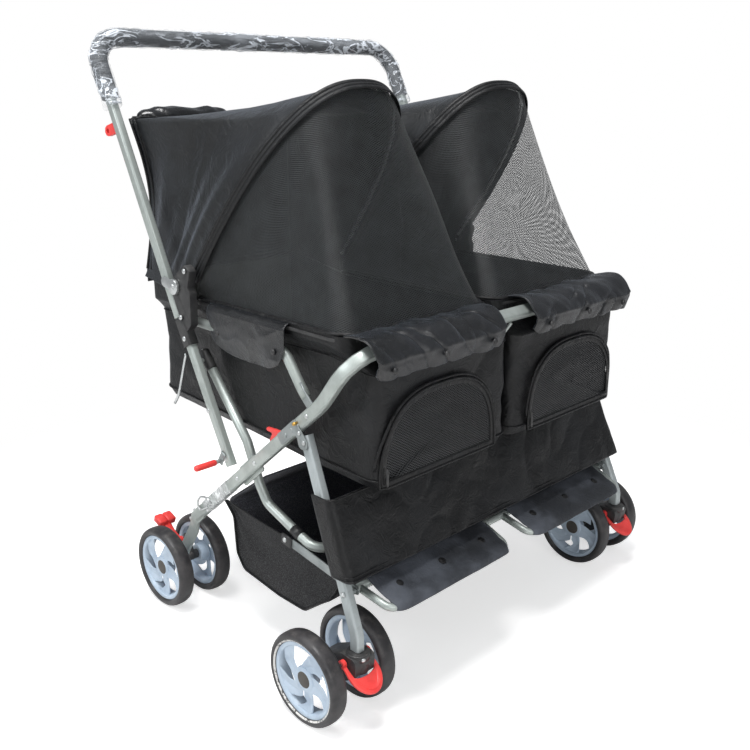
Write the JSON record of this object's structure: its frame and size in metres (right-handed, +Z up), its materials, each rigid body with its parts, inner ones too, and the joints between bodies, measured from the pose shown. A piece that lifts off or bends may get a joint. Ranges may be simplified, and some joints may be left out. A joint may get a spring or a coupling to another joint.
{
  "type": "pet stroller",
  "caption": "Twin pet stroller: two soft cabins side by side under arched mesh hoods, on a folding tube frame with paired front casters, rear wheels and a basket",
  "frame": {"origin": "on the ground, under the middle of the overall width and depth", "axes": "+Z up, +Y to the rear (the person who pushes stands there), -Y to the front, +X to the pet's left hand side as it looks forward"},
  "size_m": [0.839, 0.6938, 1.0178],
  "materials": {
    "silver_tube": "satin silver-grey lacquer",
    "steel": "bright, brushed",
    "rim_grey": "moulded, light blue-grey, satin",
    "tyre_black": "smooth foam rubber, matt",
    "red_plastic": "coral red, moulded, slightly glossy",
    "black_plastic": "moulded, fine grain",
    "black_cloth": "woven oxford cloth with a slight sheen",
    "mesh_cloth": "knitted see-through mesh",
    "grip_foam": "black foam in wrinkled clear film"
  },
  "bodies": {
    "frame": {"main_frame_tube": "silver_tube", "basket": "black_cloth", "rear_canopy": "black_cloth", "cabin_left": "black_cloth", "cabin_right": "black_cloth", "rear_axle_l": "black_plastic", "leg_bracket_l": "silver_tube", "mesh_dome_l": "mesh_cloth", "rear_axle_r": "black_plastic", "leg_bracket_r": "silver_tube", "mesh_dome_r": "mesh_cloth"},
    "strut": {"strut_frame": "silver_tube"},
    "pusher": {"pusher_tube_l": "silver_tube", "hinge_housing_l": "black_plastic", "pusher_tube_r": "silver_tube", "hinge_housing_r": "black_plastic"},
    "handle": {"handle_tube": "silver_tube", "handle_grip": "grip_foam", "handle_pivot_l": "steel", "handle_pivot_r": "steel"},
    "foot_lever": {"foot_lever": "red_plastic"},
    "storage_hook": {"storage_hook": "red_plastic"},
    "legs": {"front_leg_l": "silver_tube", "front_leg_r": "silver_tube", "footrest_frame": "silver_tube", "footrest_left": "black_plastic", "footrest_right": "black_plastic"},
    "release_slider_l": {"release_slider_l": "red_plastic"},
    "armrest_l": {"armrest_tube_l": "silver_tube"},
    "link_l": {"link_bar_l": "silver_tube"},
    "caster_l": {"caster_housing_l": "black_plastic"},
    "swivel_lock_l": {"swivel_lock_l": "red_plastic"},
    "brake_pedal_l": {"brake_pedal_l": "red_plastic"},
    "canopy_hoop_l": {"canopy_hoop_l": "steel"},
    "door_l": {"door_l": "mesh_cloth"},
    "front_wheel_outer_l": {"front_tyre_outer_l": "tyre_black", "front_rim_outer_l": "rim_grey"},
    "front_wheel_inner_l": {"front_tyre_inner_l": "tyre_black", "front_rim_inner_l": "rim_grey"},
    "rear_wheel_outer_l": {"rear_tyre_outer_l": "tyre_black", "rear_rim_outer_l": "rim_grey"},
    "rear_wheel_inner_l": {"rear_tyre_inner_l": "tyre_black", "rear_rim_inner_l": "rim_grey"},
    "release_slider_r": {"release_slider_r": "red_plastic"},
    "armrest_r": {"armrest_tube_r": "silver_tube"},
    "link_r": {"link_bar_r": "silver_tube"},
    "caster_r": {"caster_housing_r": "black_plastic"},
    "swivel_lock_r": {"swivel_lock_r": "red_plastic"},
    "brake_pedal_r": {"brake_pedal_r": "red_plastic"},
    "canopy_hoop_r": {"canopy_hoop_r": "steel"},
    "door_r": {"door_r": "mesh_cloth"},
    "front_wheel_outer_r": {"front_tyre_outer_r": "tyre_black", "front_rim_outer_r": "rim_grey"},
    "front_wheel_inner_r": {"front_tyre_inner_r": "tyre_black", "front_rim_inner_r": "rim_grey"},
    "rear_wheel_outer_r": {"rear_tyre_outer_r": "tyre_black", "rear_rim_outer_r": "rim_grey"},
    "rear_wheel_inner_r": {"rear_tyre_inner_r": "tyre_black", "rear_rim_inner_r": "rim_grey"}
  },
  "joints": [
    {"name": "fold", "type": "hinge", "parent": "frame", "child": "strut", "pos_m": [0, -0.03, 0.3215], "axis": [1, 0, 0], "range_deg": [-30, 0], "deforming": ["basket"]},
    {"name": "pusher_fold", "type": "hinge", "parent": "strut", "child": "pusher", "pos_m": [0, 0.0891, 0.4866], "axis": [1, 0, 0], "range_deg": [0, 113.01]},
    {"name": "armrest_fold_l", "type": "hinge", "parent": "frame", "child": "armrest_l", "pos_m": [-0.3292, -0.1919, 0.4614], "axis": [1, 0, 0], "range_deg": [-24.4, 0]},
    {"name": "armrest_fold_r", "type": "hinge", "parent": "frame", "child": "armrest_r", "pos_m": [0.3292, -0.1919, 0.4614], "axis": [1, 0, 0], "range_deg": [-24.4, 0]},
    {"name": "leg_fold", "type": "hinge", "parent": "frame", "child": "legs", "pos_m": [0, -0.1849, 0.418], "axis": [1, 0, 0], "range_deg": [0, 31.6]},
    {"name": "link_fold_l", "type": "hinge", "parent": "legs", "child": "link_l", "pos_m": [-0.3328, -0.2744, 0.205], "axis": [1, 0, 0], "range_deg": [0, 47.01]},
    {"name": "link_fold_r", "type": "hinge", "parent": "legs", "child": "link_r", "pos_m": [0.3328, -0.2744, 0.205], "axis": [1, 0, 0], "range_deg": [0, 47.01]},
    {"name": "handle_swing", "type": "hinge", "parent": "pusher", "child": "handle", "pos_m": [0, 0.1176, 0.611], "axis": [1, 0, 0], "range_deg": [0, 51]},
    {"name": "release_l", "type": "slide", "parent": "handle", "child": "release_slider_l", "axis": [0, 0.4293, 0.9032], "range_m": [0, 0.012], "stiffness_N_per_m": 600, "springref_m": -0.004},
    {"name": "release_r", "type": "slide", "parent": "handle", "child": "release_slider_r", "axis": [0, 0.4293, 0.9032], "range_m": [0, 0.012], "stiffness_N_per_m": 600, "springref_m": -0.004},
    {"name": "foot_lever", "type": "hinge", "parent": "pusher", "child": "foot_lever", "pos_m": [-0.3583, 0.0091, 0.347], "axis": [1, 0, 0], "range_deg": [-20, 0], "stiffness_Nm_per_rad": 1.2, "springref_deg": 11.46},
    {"name": "storage_hook", "type": "hinge", "parent": "frame", "child": "storage_hook", "pos_m": [-0.3317, -0.1039, 0.386], "axis": [1, 0, 0], "range_deg": [0, 40]},
    {"name": "canopy_hoop_l", "type": "hinge", "parent": "frame", "child": "canopy_hoop_l", "pos_m": [-0.168, 0.0871, 0.638], "axis": [1, 0, 0], "range_deg": [-68, 0], "deforming": ["rear_canopy", "mesh_dome_l"]},
    {"name": "door_l", "type": "hinge", "parent": "frame", "child": "door_l", "pos_m": [-0.174, -0.2989, 0.366], "axis": [1, 0, 0], "range_deg": [0, 150]},
    {"name": "caster_turn_l", "type": "hinge", "parent": "legs", "child": "caster_l", "pos_m": [-0.354, -0.2989, 0.11], "axis": [0, 0, 1], "continuous": true},
    {"name": "swivel_lock_l", "type": "hinge", "parent": "caster_l", "child": "swivel_lock_l", "pos_m": [-0.354, -0.2919, 0.109], "axis": [1, 0, 0], "range_deg": [0, 20]},
    {"name": "front_wheel_outer_l", "type": "hinge", "parent": "caster_l", "child": "front_wheel_outer_l", "pos_m": [-0.4045, -0.2429, 0.075], "axis": [1, 0, 0], "continuous": true},
    {"name": "rear_wheel_outer_l", "type": "hinge", "parent": "frame", "child": "rear_wheel_outer_l", "pos_m": [-0.3645, 0.2041, 0.075], "axis": [1, 0, 0], "continuous": true},
    {"name": "front_wheel_inner_l", "type": "hinge", "parent": "caster_l", "child": "front_wheel_inner_l", "pos_m": [-0.3035, -0.2429, 0.075], "axis": [1, 0, 0], "continuous": true},
    {"name": "rear_wheel_inner_l", "type": "hinge", "parent": "frame", "child": "rear_wheel_inner_l", "pos_m": [-0.2845, 0.2041, 0.075], "axis": [1, 0, 0], "continuous": true},
    {"name": "brake_pedal_l", "type": "hinge", "parent": "frame", "child": "brake_pedal_l", "pos_m": [-0.3245, 0.2191, 0.106], "axis": [1, 0, 0], "range_deg": [-18, 0]},
    {"name": "canopy_hoop_r", "type": "hinge", "parent": "frame", "child": "canopy_hoop_r", "pos_m": [0.168, 0.0871, 0.638], "axis": [1, 0, 0], "range_deg": [-68, 0], "deforming": ["rear_canopy", "mesh_dome_r"]},
    {"name": "door_r", "type": "hinge", "parent": "frame", "child": "door_r", "pos_m": [0.174, -0.2989, 0.366], "axis": [1, 0, 0], "range_deg": [0, 150]},
    {"name": "caster_turn_r", "type": "hinge", "parent": "legs", "child": "caster_r", "pos_m": [0.354, -0.2989, 0.11], "axis": [0, 0, 1], "continuous": true},
    {"name": "swivel_lock_r", "type": "hinge", "parent": "caster_r", "child": "swivel_lock_r", "pos_m": [0.354, -0.2919, 0.109], "axis": [1, 0, 0], "range_deg": [0, 20]},
    {"name": "front_wheel_outer_r", "type": "hinge", "parent": "caster_r", "child": "front_wheel_outer_r", "pos_m": [0.4045, -0.2429, 0.075], "axis": [1, 0, 0], "continuous": true},
    {"name": "rear_wheel_outer_r", "type": "hinge", "parent": "frame", "child": "rear_wheel_outer_r", "pos_m": [0.3645, 0.2041, 0.075], "axis": [1, 0, 0], "continuous": true},
    {"name": "front_wheel_inner_r", "type": "hinge", "parent": "caster_r", "child": "front_wheel_inner_r", "pos_m": [0.3035, -0.2429, 0.075], "axis": [1, 0, 0], "continuous": true},
    {"name": "rear_wheel_inner_r", "type": "hinge", "parent": "frame", "child": "rear_wheel_inner_r", "pos_m": [0.2845, 0.2041, 0.075], "axis": [1, 0, 0], "continuous": true},
    {"name": "brake_pedal_r", "type": "hinge", "parent": "frame", "child": "brake_pedal_r", "pos_m": [0.3245, 0.2191, 0.106], "axis": [1, 0, 0], "range_deg": [-18, 0]}
  ],
  "couplings": [
    {"joint": "pusher_fold", "follows": "fold", "ratio": -3.7667},
    {"joint": "leg_fold", "follows": "fold", "ratio": -1.0533},
    {"joint": "armrest_fold_l", "follows": "fold", "ratio": 0.81333},
    {"joint": "link_fold_l", "follows": "fold", "ratio": -1.5667},
    {"joint": "armrest_fold_r", "follows": "fold", "ratio": 0.81333},
    {"joint": "link_fold_r", "follows": "fold", "ratio": -1.5667}
  ]
}
